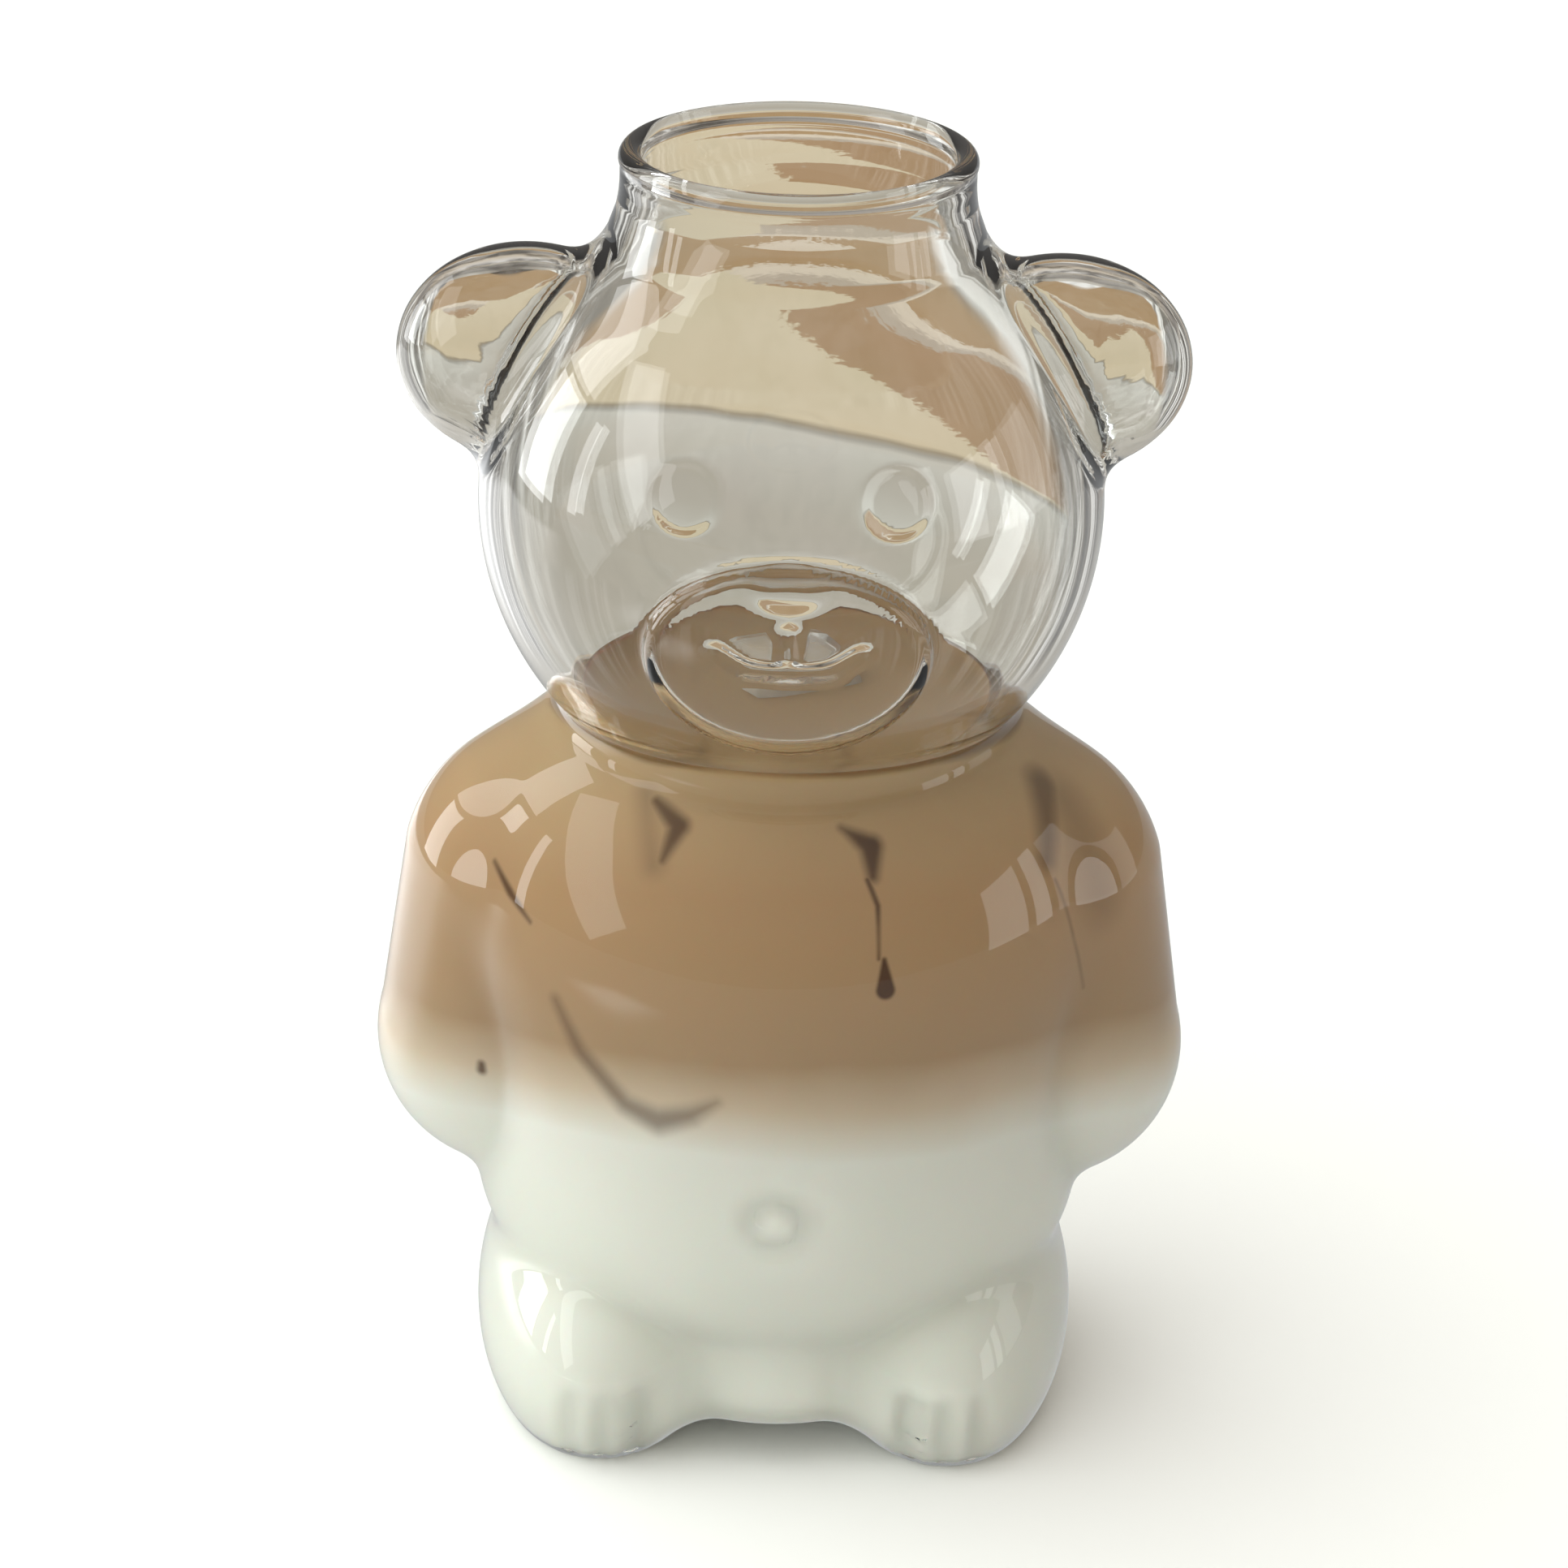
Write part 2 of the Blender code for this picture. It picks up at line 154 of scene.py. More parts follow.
# Painted shade in the drink's colour, for the dark that an edge of ice shows through the coffee where it
# lies close behind
# the glass: how soft and how dark each painted mark is, and the points that it runs through, each with its
# half thickness
painted_ice_shade_marks = (
    (0.0008, 0.85, ((-0.0141, -0.0204, 0.0792, 0.0006), (-0.0115, -0.0230, 0.0774, 0.0012),
                    (-0.0133, -0.0250, 0.0742, 0.0004))),
    (0.0018, 0.35, ((-0.0153, -0.0195, 0.0796, 0.0010), (-0.0143, -0.0250, 0.0736, 0.0010))),
    (0.0008, 0.92, ((0.0063, -0.0239, 0.0780, 0.0002), (0.0096, -0.0246, 0.0762, 0.0013),
                    (0.0099, -0.0264, 0.0734, 0.0006))),
    (0.0003, 0.85, ((0.0093, -0.0267, 0.0731, 0.0003), (0.0105, -0.0278, 0.0705, 0.0003),
                    (0.0107, -0.0298, 0.0651, 0.0002))),
    (0.0003, 0.95, ((0.0113, -0.0297, 0.0649, 0.0003), (0.0115, -0.0303, 0.0617, 0.0011))),
    (0.0016, 0.66, ((0.0286, -0.0095, 0.0776, 0.0022), (0.0291, -0.0160, 0.0717, 0.0012))),
    (0.0030, 0.30, ((0.0315, -0.0090, 0.0760, 0.0025), (0.0355, -0.0125, 0.0660, 0.0030))),
    (0.0004, 0.50, ((0.0302, -0.0166, 0.0694, 0.0002), (0.0325, -0.0165, 0.0624, 0.0002),
                    (0.0340, -0.0148, 0.0559, 0.0002))),
    (0.0004, 0.85, ((-0.0322, -0.0147, 0.0693, 0.0003), (-0.0301, -0.0178, 0.0670, 0.0005),
                    (-0.0277, -0.0208, 0.0648, 0.0002))),
    (0.0005, 0.85, ((-0.0339, -0.0138, 0.0441, 0.0005), (-0.0339, -0.0138, 0.0434, 0.0006))),
    (0.0012, 0.62, ((-0.0246, -0.0239, 0.0569, 0.0004), (-0.0218, -0.0253, 0.0514, 0.0008),
                    (-0.0167, -0.0281, 0.0461, 0.0011), (-0.0131, -0.0298, 0.0449, 0.0014),
                    (-0.0096, -0.0310, 0.0462, 0.0010), (-0.0067, -0.0317, 0.0482, 0.0002))),
)

# How strongly glass and ice bend light, how much of the light goes into the drink and how deep, and the
# colour of the painted shade for the ice edges that show through it
glass_index = 1.48
ice_index = 1.31
drink_cloudiness = 0.15
drink_cloud_depth = 0.0015
painted_ice_shade_colour = (0.080, 0.036, 0.016)

# The painted room that glows in the floor's place only for rays through the glass, a painted reflection:
# how fine and how deep the ragged edges of its colours are, how far these edges lean across the view, how
# fine the painted streaks beside the glass are and how fast they change with the bearing, and how bright the
# painted glow of the mirrored floor is
ragged_scale = 300
ragged_reach = 0.030
edge_lean = 0.5
tan_lean = 1.9
streak_scale = 26
streak_turn = 0.3
painted_floor_glow = 0.55

# Where the areas of the painted room that shows through the glass meet, as the distances at which each
# change
# starts and ends: past the painted dark line behind the glass, the tan slant, and all that lies far behind;
# and for the painted streaks, how far beside the glass, how far behind it, and how near all round they lie
behind_edge = (0.370, 0.372)
tan_edge = (0.462, 0.466)
far_edge = (0.519, 0.523)
beside_edge = (0.085, 0.115)
past_edge = (0.06, 0.12)
near_edge = (0.31, 0.27)

# Painted pools of window light, which glow on the floor only where the glass mirrors it: left, right, front
# and back edge, how soft its edges are, brightness
painted_floor_pools = ((-0.60, -0.06, -0.04, 0.40, 0.09, 1.7), (-0.22, -0.10, -0.20, -0.08, 0.05, 1.8))

# Colour of the window light, and the window panes that show in the glass: name, middle, width and height,
# lean in degrees, brightness
window_colour = (0.97, 0.99, 1.0)
window_panes = (("left_low", (-0.8, 0.27, 0.22), (0.28, 0.40), 0, 5.0),
                ("left_high", (-0.8, 0.27, 0.68), (0.34, 0.44), 0, 3.0),
                ("left_narrow", (-0.8, -0.08, 0.24), (0.06, 0.38), 0, 4.5),
                ("left_slanting", (-0.8, -0.36, 0.54), (0.34, 0.90), 41, 2.1),
                ("right_narrow", (0.8, -0.08, 0.21), (0.10, 0.36), 0, 2.2),
                ("right_front", (0.8, -0.30, 0.21), (0.24, 0.36), 0, 2.0),
                ("right_back", (0.8, 0.15, 0.21), (0.26, 0.36), 0, 1.0))

# Camera: where it stands and looks, its lean in degrees, and its lens and sensor in millimetres
camera_place = (0, -0.650, 0.335)
camera_target = (-0.0001, 0, 0.0738)
camera_roll = 1.28
camera_lens = 139.06
camera_sensor_width = 36

# How the rays that find the surfaces run: those to the legs start at the leg core, and the sole's rings
# reach a share of the leg's half width. From the waist up they start in the belly. They keep an angle clear
# of the crease, and crowd towards the sides and the front
leg_core_height = 0.0120
waist_height = 0.0235
sole_edge_share = 0.8
crease_clearance_angle = math.radians(3)
side_squeeze = 0.20
front_squeeze = 0.25

# Mesh counts, and how close points are that count as one
azimuth_count = 288
outer_ring_counts = {"sole": 44, "leg": 64, "body": 90, "head": 150}
inner_ring_counts = {"sole": 22, "leg": 34, "body": 44, "head": 64}
neck_ring_count = 8
bead_ring_count = 22
drink_cap_counts = (10, 18)
march_steps = 56
halvings = 18
weld_distance = 0.00001

# How far the whole is moved back, as the solids are, so that its box is centred
centring = Vector((0, 0.0013515, 0))

# Sizes and angles that follow from those above
head_height = crease_height + math.sqrt(head_radius ** 2 - crease_radius ** 2)
neck_foot_rise = math.sqrt(head_radius ** 2 - neck_radius ** 2)
glass_height = head_height + neck_foot_rise + neck_rise
shoulder_half_height = (crease_height - shoulder_height) / math.sqrt(
    1 - (crease_radius / shoulder_half_width) ** 2)
drink_height = crease_height + drink_above_crease
bead_ring_radius = neck_radius - wall / 2
bead_height = glass_height - rim_bead_radius
spine_height = (belly_height + shoulder_height) / 2
sole_edge_angle = -math.atan2(leg_core_height, leg_spread + leg_half_width * sole_edge_share)


def blend(first, second, width):
    """Union of two forms, filleted over the given width where they meet."""
    mix = np.clip((1 + (second - first) / width) / 2, 0, 1)
    return second + (first - second) * mix - width * mix * (1 - mix)


def carve(form, cutter, width):
    """A form with a cutter taken out of it, its edges rounded over the given width."""
    return -blend(-form, cutter, width)


def ellipsoid(points, centre, half_sizes):
    """Signed distance to an ellipsoid, close to exact near its surface."""
    offset = points - np.array(centre)
    half_sizes = np.array(half_sizes)
    near = np.linalg.norm(offset / half_sizes, axis=-1)
    steepness = np.linalg.norm(offset / half_sizes ** 2, axis=-1)
    tiny = np.finfo(float).tiny
    return near * (near - 1) / np.maximum(steepness, tiny)


def barrel(points, centre, half_sizes, roundness):
    """Signed distance to a round barrel whose side is straighter than an ellipsoid's."""
    offset = np.abs(points - np.array(centre))
    across = np.hypot(offset[..., 0] / half_sizes[0], offset[..., 1] / half_sizes[1])
    along = offset[..., 2] / half_sizes[2]
    return ((across ** roundness + along ** roundness) ** (1 / roundness) - 1) * min(half_sizes)


def limb(points, start, end, start_radius, end_radius):
    """Signed distance to a tapered limb with round ends."""
    start = np.array(start)
    run = np.array(end) - start
    offset = points - start
    along = np.clip(offset @ run / (run @ run), 0, 1)
    radius = start_radius + (end_radius - start_radius) * along
    return np.linalg.norm(offset - along[..., None] * run, axis=-1) - radius


def mirrored(points):
    """The same points on the side of positive X."""
    folded = points.copy()
    folded[..., 0] = np.abs(folded[..., 0])
    return folded


def torso_form(points):
    """Belly, shoulders and arms."""
    belly = barrel(points, (0, -belly_forward, belly_height),
                   (belly_half_width, belly_half_depth, belly_half_height), belly_roundness)
    shoulders = ellipsoid(points, (0, 0, shoulder_height),
                          (shoulder_half_width, shoulder_half_depth, shoulder_half_height))
    arms = limb(mirrored(points), (upper_arm_spread, 0, upper_arm_height),
                (forearm_spread, 0, forearm_height), upper_arm_radius, forearm_radius)
    return blend(blend(belly, shoulders, torso_fillet), arms, arm_fillet)


def leg_form(points):
    """Two legs, and the hip that joins them over a low arch."""
    legs = ellipsoid(mirrored(points), (leg_spread, 0, leg_height),
                     (leg_half_width, leg_half_depth, leg_half_height))
    hip = barrel(points, (0, 0, hip_height),
                 (hip_half_width, hip_half_depth, hip_half_height), hip_roundness)
    return blend(legs, hip, leg_fillet)


def head_form(points):
    """Round head with its ears and neck, without the face."""
    ball = ellipsoid(points, (0, 0, head_height), (head_radius, head_radius, head_radius))
    ears = ellipsoid(mirrored(points), (ear_spread, 0, head_height + ear_rise),
                     (ear_half_width, ear_half_depth, ear_half_height))
    neck = np.hypot(points[..., 0], points[..., 1]) - neck_radius
    neck = np.maximum(neck, head_height - points[..., 2])
    return blend(blend(ball, ears, ear_fillet), neck, neck_fillet)


def plain_form(points):
    """The whole bear without its face: what the inside of the glass follows."""
    bear = blend(torso_form(points), head_form(points), crease_fillet)
    return blend(bear, leg_form(points), hip_crease_fillet)


def on_head(across, rise, height):
    """Point a given height over the ball of the head, in a direction given in degrees."""
    across, rise = math.radians(across), math.radians(rise)
    reach = head_radius + height
    return np.array((reach * math.cos(rise) * math.sin(across), -reach * math.cos(rise) * math.cos(across),
                     head_height + reach * math.sin(rise)))


def pad(points, shape, sunk=0.0):
    """Signed distance to a raised pad on the ball of the head, or on its inside where it is sunk."""
    middle = np.array((0, 0, head_height))
    outward = (on_head(shape["across"], shape["rise"], 0) - middle) / head_radius
    side = np.cross((0, 0, -1), outward)
    side /= np.linalg.norm(side)
    up = np.cross(outward, side)
    offset = points - middle
    half_width, half_height = shape["halves"]
    spread = np.hypot(offset @ side / half_width, offset @ up / half_height)
    flank = (spread - 1) * half_height
    bulge = shape["edge"] + shape["crown"] * (1 - np.minimum(spread, crown_reach) ** 2)
    cap = np.linalg.norm(offset, axis=-1) - (head_radius - sunk) - bulge
    return -blend(-flank, -np.maximum(cap, -offset @ outward), shape["rounding"])


def add_face(bear, points):
    """The bear's form with its muzzle, nose, mouth and eyes."""
    bear = blend(bear, pad(points, muzzle), muzzle["fillet"])
    side = mirrored(points)
    for start, end in mouth_lines:
        line = limb(side, on_head(*start, mouth_height), on_head(*end, mouth_height),
                    mouth_line_radius, mouth_line_radius)
        bear = carve(bear, line, mouth_fillet)
    bear = blend(bear, pad(points, nose), nose["fillet"])
    return blend(bear, pad(side, eye), eye["fillet"])


def add_navel(bear, points, front):
    """The bear's form with a dimple in the belly and a bump in the dimple."""
    dish = ellipsoid(points, (0, front + navel_depth - navel_reach, navel_height),
                     (navel_halves[0], navel_reach, navel_halves[1]))
    bump = ellipsoid(points, (0, front + navel_bump_depth, navel_height),
                     (navel_bump_halves[0], navel_bump_depth, navel_bump_halves[1]))
    return blend(carve(bear, dish, navel_fillet), bump, navel_fillet)


def carve_toes(bear, points, inset):
    """The bear's form with short soft upright grooves between the toes."""
    side = mirrored(points)
    for across in toe_grooves:
        out = (across - leg_spread) / leg_half_width
        front = -leg_half_depth * math.sqrt(1 - out ** 2) + toe_groove_depth - toe_groove_radius + inset
        foot = (across, front * toe_groove_foot_share, -leg_height / 2)
        groove = limb(side, (across, front, leg_height), foot, toe_groove_radius, toe_groove_radius)
        bear = carve(bear, groove, toe_groove_fillet)
    return bear


def outside_form(points):
    """Outside of the glass, cut flat at the soles."""
    front = -belly_forward - belly_half_depth
    bear = add_navel(add_face(plain_form(points), points), points, front)
    return np.maximum(carve_toes(bear, points, 0), -points[..., 2])


def inside_form(points):
    """Inside of the glass, thinner at the feet and ears, with face, navel and toes shown more softly."""
    front = -belly_forward - belly_half_depth + wall
    past_start = np.abs(points[..., 0]) - ear_thinning_start
    in_ear = np.clip(past_start / (ear_thinning_end - ear_thinning_start), 0, 1)
    in_ear = in_ear * (points[..., 2] > head_height)
    in_foot = np.clip(1 - points[..., 2] / thinning_height, 0, 1)
    thinned = wall - wall_thinning * in_foot - ear_thinning * in_ear
    bear = blend(plain_form(points) + thinned, pad(points, muzzle_inside, wall), muzzle_inside["fillet"])
    bear = carve_toes(add_navel(bear, points, front), points, wall - wall_thinning)
    return np.maximum(bear, floor_thickness - points[..., 2])


def drink_form(points):
    """Outside of the drink, which wets the glass, so it bites a little into the wall."""
    return inside_form(points) - drink_bite


def azimuths():
    """Directions around the glass, closer together at the arms, the ears and the face."""
    turns = np.linspace(0, 2 * math.pi, azimuth_count, endpoint=False)
    return turns - side_squeeze * np.sin(2 * turns) / 2 - front_squeeze * np.cos(turns)


def cast_ring(form, height, elevation):
    """Where rays from a point on the centre line leave the form, one ray for each azimuth.

    The elevation is one angle, or one for each azimuth.
    """
    angles = azimuths()
    origin = np.array((0, 0, height))
    level = np.cos(elevation)
    rays = np.stack((np.cos(angles) * level, np.sin(angles) * level,
                     np.broadcast_to(np.sin(elevation), azimuth_count)), axis=-1)
    steps = np.linspace(0, glass_height, march_steps)[1:]
    outside = form(origin + rays[:, None, :] * steps[None, :, None]) > 0
    first = np.argmax(outside, axis=1)
    near = steps[np.maximum(first - 1, 0)]
    far = steps[first]
    for _ in range(halvings):
        middle = (near + far) / 2
        is_outside = form(origin + rays * middle[:, None]) > 0
        far = np.where(is_outside, middle, far)
        near = np.where(is_outside, near, middle)
    return origin + rays * far[:, None]


def body_rings(form, counts):
    """Rings from just above the underside's middle to just below the crease.

    Those below the waist are cast from between the legs, those above it from the middle of the belly, so
    that no ray grazes the top of a leg or the underside of an arm.
    """
    waist = cast_ring(form, waist_height, 0)
    radius = np.hypot(waist[:, 0], waist[:, 1])
    leg_top = np.arctan2(waist_height - leg_core_height, radius)
    body_bottom = -np.arctan2(spine_height - waist_height, radius)
    body_top = math.atan2(crease_height - spine_height, crease_radius) - crease_clearance_angle
    ease = 1 - np.linspace(1, 0, counts["sole"] + 1)[1:] ** 2
    sole = (sole_edge_angle + math.pi / 2) * ease - math.pi / 2
    leg = np.linspace(0, 1, counts["leg"] + 1)[1:-1]
    body = np.linspace(0, 1, counts["body"] + 1)[1:]
    rings = [cast_ring(form, leg_core_height, elevation) for elevation in sole]
    for share in leg:
        rings.append(cast_ring(form, leg_core_height, sole_edge_angle + (leg_top - sole_edge_angle) * share))
    rings.append(waist)
    for share in body:
        rings.append(cast_ring(form, spine_height, body_bottom + (body_top - body_bottom) * share))
    return rings


def head_rings(form, counts):
    """Rings from just above the crease to the foot of the neck."""
    bottom = crease_clearance_angle - math.atan2(head_height - crease_height, crease_radius)
    top = math.atan2(neck_foot_rise, neck_radius)
    elevations = np.linspace(bottom, top, counts["head"])
    return [cast_ring(form, head_height, elevation) for elevation in elevations]


def shell_rings(form, counts):
    """All rings of one side of the glass, from the underside up to the lip."""
    crease = cast_ring(form, crease_height, 0)
    heights = np.linspace(bead_height - neck_rise / 2, bead_height - rim_bead_radius, neck_ring_count)
    neck = [cast_ring(form, height, 0) for height in heights]
    return body_rings(form, counts) + [crease] + head_rings(form, counts) + neck


def bead_rings():
    """The rounded lip, from its outer side over the top to its inner side."""
    angles = azimuths()
    overhang = math.radians(40)
    rings = []
    for turn in np.linspace(-overhang, math.pi + overhang, bead_ring_count):
        radius = bead_ring_radius + rim_bead_radius * math.cos(turn)
        height = bead_height + rim_bead_radius * math.sin(turn)
        rings.append(np.stack((np.cos(angles) * radius, np.sin(angles) * radius,
                               np.full(azimuth_count, height)), axis=-1))
    return rings


def loft(name, rings, first_pole, last_pole):
    """Closed smooth surface through rings of equal length, with a point at each end."""
    count = len(rings[0])
    points = np.concatenate(rings + [np.array([first_pole, last_pole])])
    here = np.arange(count)
    after = (here + 1) % count
    starts = np.arange(len(rings) - 1)[:, None] * count
    sides = np.stack((starts + here, starts + after, starts + count + after, starts + count + here), axis=-1)
    first, last = len(points) - 2, len(points) - 1
    top = (len(rings) - 1) * count
    faces = sides.reshape(-1, 4).tolist()
    faces += [(first, int(b), int(a)) for a, b in zip(here, after)]
    faces += [(top + int(a), top + int(b), last) for a, b in zip(here, after)]
    data = bpy.data.meshes.new(name)
    data.from_pydata((points + np.array(centring)).tolist(), [], faces)
    data.shade_smooth()
    return add_object(name, data)


def add_object(name, data):
    """Put a mesh into the scene."""
    piece = bpy.data.objects.new(name, data)
    bpy.context.scene.collection.objects.link(piece)
    return piece


def make_glass():
    """The blown glass: outside, lip and inside in one closed surface."""
    outer = shell_rings(outside_form, outer_ring_counts)
    inner = shell_rings(inside_form, inner_ring_counts)
    underside = cast_ring(outside_form, spine_height, -math.pi / 2)[0]
    floor_middle = cast_ring(inside_form, spine_height, -math.pi / 2)[0]
    return loft("blown_glass", outer + bead_rings() + inner[::-1], underside, floor_middle)


def make_drink():
    """Milk and coffee as one body, with a narrow meniscus where its top wets the glass."""
    rings = body_rings(drink_form, inner_ring_counts) + [cast_ring(drink_form, crease_height, 0)]
    for height in np.linspace(drink_height, drink_height + meniscus_rise, 3):
        rings.append(cast_ring(drink_form, height, 0))
    edge = rings[-1]
    edge_radius = np.hypot(edge[:, 0], edge[:, 1]).mean()
    near_share = 1 - 3 * meniscus_width / edge_radius
    near_count, far_count = drink_cap_counts
    shares = np.concatenate((np.linspace(1, near_share, near_count + 1)[1:],
                             np.linspace(near_share, 0, far_count + 1)[1:-1]))
    for share in shares:
        ring = edge * share
        ring[:, 2] = drink_height + meniscus_rise * math.exp(-(1 - share) * edge_radius / meniscus_width)
        rings.append(ring)
    bottom = cast_ring(drink_form, spine_height, -math.pi / 2)[0]
    return loft("milk_and_coffee", rings, bottom, (0, 0, drink_height))


def make_ice(node):
    """One ice cube in the solid's own shape, shaded smooth."""
    solid = frame["nodes"][node]
    mesh = bmesh.new()
    mesh.from_mesh(solid.data)
    bmesh.ops.remove_doubles(mesh, verts=mesh.verts, dist=weld_distance)
    data = bpy.data.meshes.new(node + "_melting")
    mesh.to_mesh(data)
    mesh.free()
    data.shade_smooth()
    return add_object(node + "_melting", data)


def set_inputs(tree, node, inputs):
    """Give a node its inputs, each of them another node's output or a fixed value."""
    for name, value in inputs.items():
        if isinstance(value, bpy.types.NodeSocket):
            tree.links.new(value, node.inputs[name])
        else:
            node.inputs[name].default_value = value


def add_node(tree, kind, inputs, **settings):
    """A shader node with its settings and inputs."""
    node = tree.nodes.new(kind)
    for name, value in settings.items():
        setattr(node, name, value)
    set_inputs(tree, node, inputs)
    return node


def combine(tree, operation, *terms):
    """Result of one operation on other nodes' outputs or on numbers."""
    return add_node(tree, "ShaderNodeMath", dict(enumerate(terms)), operation=operation).outputs[0]


def combine_vectors(tree, operation, first, second):
    """Outputs of one operation on two vectors."""
    return add_node(tree, "ShaderNodeVectorMath", {0: first, 1: second}, operation=operation).outputs


def split_axes(tree, point):
    """The three coordinates of a point."""
    return add_node(tree, "ShaderNodeSeparateXYZ", {0: point}).outputs


def noise(tree, point, scale, detail):
    """Soft noise that changes from place to place."""
    inputs = {"Vector": point, "Scale": scale, "Detail": detail}
    return add_node(tree, "ShaderNodeTexNoise", inputs).outputs["Fac"]


def fade(tree, value, edge, **settings):
    """Zero where an edge starts and one where it ends."""
    inputs = {"Value": value, "From Min": edge[0], "From Max": edge[1]}
    return add_node(tree, "ShaderNodeMapRange", inputs, **settings).outputs[0]


def colour_ramp(tree, value, stops):
    """The colour for a value that runs through the given places and colours."""
    ramp = add_node(tree, "ShaderNodeValToRGB", {"Fac": value})
    elements = ramp.color_ramp.elements
    while len(elements) > 1:
        elements.remove(elements[-1])
    elements[0].position = stops[0][0]
    elements[0].color = (*stops[0][1], 1)
    for place, colour in stops[1:]:
        element = elements.new(place)
        element.color = (*colour, 1)
    return ramp.outputs["Color"]


def mix_colours(tree, share, first, second, **settings):
    """Mix of two colours by a share."""
    inputs = {"Factor": share, "A": first, "B": second}
    return add_node(tree, "ShaderNodeMix", inputs, data_type="RGBA", **settings).outputs["Result"]


def mix_shaders(tree, share, first, second):
    """Mix of two shaders by a share."""
    return add_node(tree, "ShaderNodeMixShader", {0: share, 1: first, 2: second}).outputs[0]


def new_material(name):
    """A material with its node tree and shader."""
    material = bpy.data.materials.new(name)
    material.use_nodes = True
    return material, material.node_tree, material.node_tree.nodes["Principled BSDF"]


def glass_material():
    """Clear blown glass with faint waves and a trace of green."""
    material, tree, shader = new_material("clear_blown_glass")
    waves = noise(tree, add_node(tree, "ShaderNodeTexCoord", {}).outputs["Object"], 90, 1)
    tint = colour_ramp(tree, waves, ((0.3, (0.965, 0.985, 0.970)), (0.7, (0.99, 0.995, 0.99))))
    bump = add_node(tree, "ShaderNodeBump", {"Strength": 0.05, "Distance": 0.0006, "Height": waves})
    set_inputs(tree, shader, {"Transmission Weight": 1, "Roughness": 0, "IOR": glass_index,
                              "Base Color": tint, "Normal": bump.outputs["Normal"]})
    return material


def streak_group():
    """Node group: how much of a soft-edged tapered streak covers a point."""
    group = bpy.data.node_groups.new("soft_streak", "ShaderNodeTree")
    face = group.interface
    for name in ("Point", "Start", "Run", "Along"):
        face.new_socket(name, in_out="INPUT", socket_type="NodeSocketVector")
    for name in ("Radius", "Growth", "Softness", "Strength"):
        face.new_socket(name, in_out="INPUT", socket_type="NodeSocketFloat")
    face.new_socket("Cover", in_out="OUTPUT", socket_type="NodeSocketFloat")
    given = group.nodes.new("NodeGroupInput").outputs
    offset = combine_vectors(group, "SUBTRACT", given["Point"], given["Start"])["Vector"]
    share = combine_vectors(group, "DOT_PRODUCT", offset, given["Along"])["Value"]
    held = add_node(group, "ShaderNodeClamp", {"Value": share}).outputs[0]
    run = add_node(group, "ShaderNodeVectorMath", {0: given["Run"], "Scale": held}, operation="SCALE")
    gap = combine_vectors(group, "DISTANCE", offset, run.outputs["Vector"])["Value"]
    radius = combine(group, "MULTIPLY_ADD", held, given["Growth"], given["Radius"])
    depth = combine(group, "DIVIDE", combine(group, "SUBTRACT", radius, gap), given["Softness"])
    cover = fade(group, depth, (-1, 1), interpolation_type="SMOOTHSTEP")
    add_node(group, "NodeGroupOutput", {"Cover": combine(group, "MULTIPLY", cover, given["Strength"])})
    return group


def painted_ice_shade_cover(tree, point):
    """How much painted shade, for an ice edge close behind the glass, darkens each point of the drink's
    colour.
    """
    group = streak_group()
    total = None
    for softness, strength, path in painted_ice_shade_marks:
        for first, second in zip(path, path[1:]):
            run = Vector(second[:3]) - Vector(first[:3])
            inputs = {"Point": point, "Start": Vector(first[:3]) + centring, "Run": run,
                      "Along": run / run.length_squared, "Radius": first[3], "Growth": second[3] - first[3],
                      "Softness": softness, "Strength": strength}
            cover = add_node(tree, "ShaderNodeGroup", inputs, node_tree=group).outputs["Cover"]
            total = cover if total is None else combine(tree, "MAXIMUM", total, cover)
    return total


def drink_material():
    """Milk below, milky coffee above, a soft wavering change between them, a painted glow below the crease,
    and painted shade at the top and at the ice edges.
    """
    material, tree, shader = new_material("milk_coffee_painted_light_and_shade")
    point = add_node(tree, "ShaderNodeTexCoord", {}).outputs["Object"]
    axes = split_axes(tree, point)
    level = combine(tree, "MULTIPLY_ADD", axes["Y"], front_rise, axes["Z"])
    waver = combine(tree, "MULTIPLY_ADD", noise(tree, point, 28, 3), drift_height, level)
    place = combine(tree, "MULTIPLY_ADD", waver, 1 / drink_height, -drift_height / drink_height / 2)
    # From milk up to coffee. The lighter band just below the crease is a painted glow of light through the
    # glass, and the dark last stop is painted shade on the drink's top inside the head.
    layers_with_painted_light = colour_ramp(tree, place, (
        (0.0, (0.88, 0.88, 0.80)), (0.44, (0.87, 0.865, 0.80)), (0.51, (0.67, 0.55, 0.41)),
        (0.58, (0.45, 0.305, 0.175)), (0.80, (0.50, 0.315, 0.162)), (0.93, (0.56, 0.39, 0.21)),
        (0.96, (0.62, 0.44, 0.24)), (0.975, (0.28, 0.175, 0.085))))
    # Painted shade for the ice edges, mixed over the drink's colours
    colour = mix_colours(tree, painted_ice_shade_cover(tree, point), layers_with_painted_light, (*painted_ice_shade_colour, 1))
    set_inputs(tree, shader, {"Base Color": colour, "Roughness": 0.2, "Specular IOR Level": 0.1,
                              "Subsurface Weight": drink_cloudiness, "Subsurface Scale": drink_cloud_depth})
    return material


def ice_material():
    """Wet clear ice with a little of the coffee's colour."""
    material, tree, shader = new_material("coffee_tinted_ice")
    clouds = noise(tree, add_node(tree, "ShaderNodeTexCoord", {}).outputs["Object"], 160, 4)
    tint = colour_ramp(tree, clouds, ((0.35, (0.92, 0.80, 0.65)), (0.65, (0.99, 0.96, 0.91))))
    set_inputs(tree, shader, {"Transmission Weight": 0.7, "Roughness": 0.03, "IOR": ice_index,
                              "Base Color": tint})
    return material


